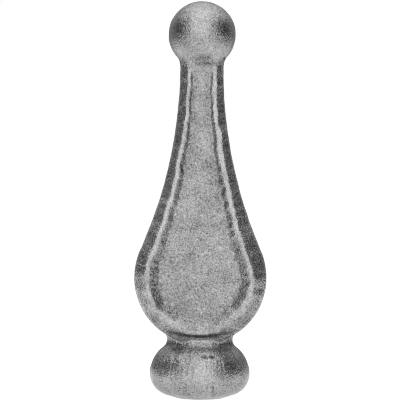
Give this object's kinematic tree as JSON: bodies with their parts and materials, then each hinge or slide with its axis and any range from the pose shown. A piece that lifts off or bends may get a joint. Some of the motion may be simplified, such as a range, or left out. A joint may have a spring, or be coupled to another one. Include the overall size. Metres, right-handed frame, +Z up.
{
  "type": "fence spike",
  "caption": "Forged fence spike: drop-shaped blade with a sunk panel on each face, ball on a slim neck, round knob foot.",
  "frame": {"origin": "middle of the knob's flat underside", "axes": "+Z up along the spike to the ball, the two broad faces look along -Y and +Y, X across the blade's width"},
  "size_m": [0.04, 0.03, 0.12],
  "materials": {
    "forged_steel": "raw forged, shot blasted, unpainted"
  },
  "bodies": {
    "root": {"fence_spike": "forged_steel"}
  },
  "joints": []
}
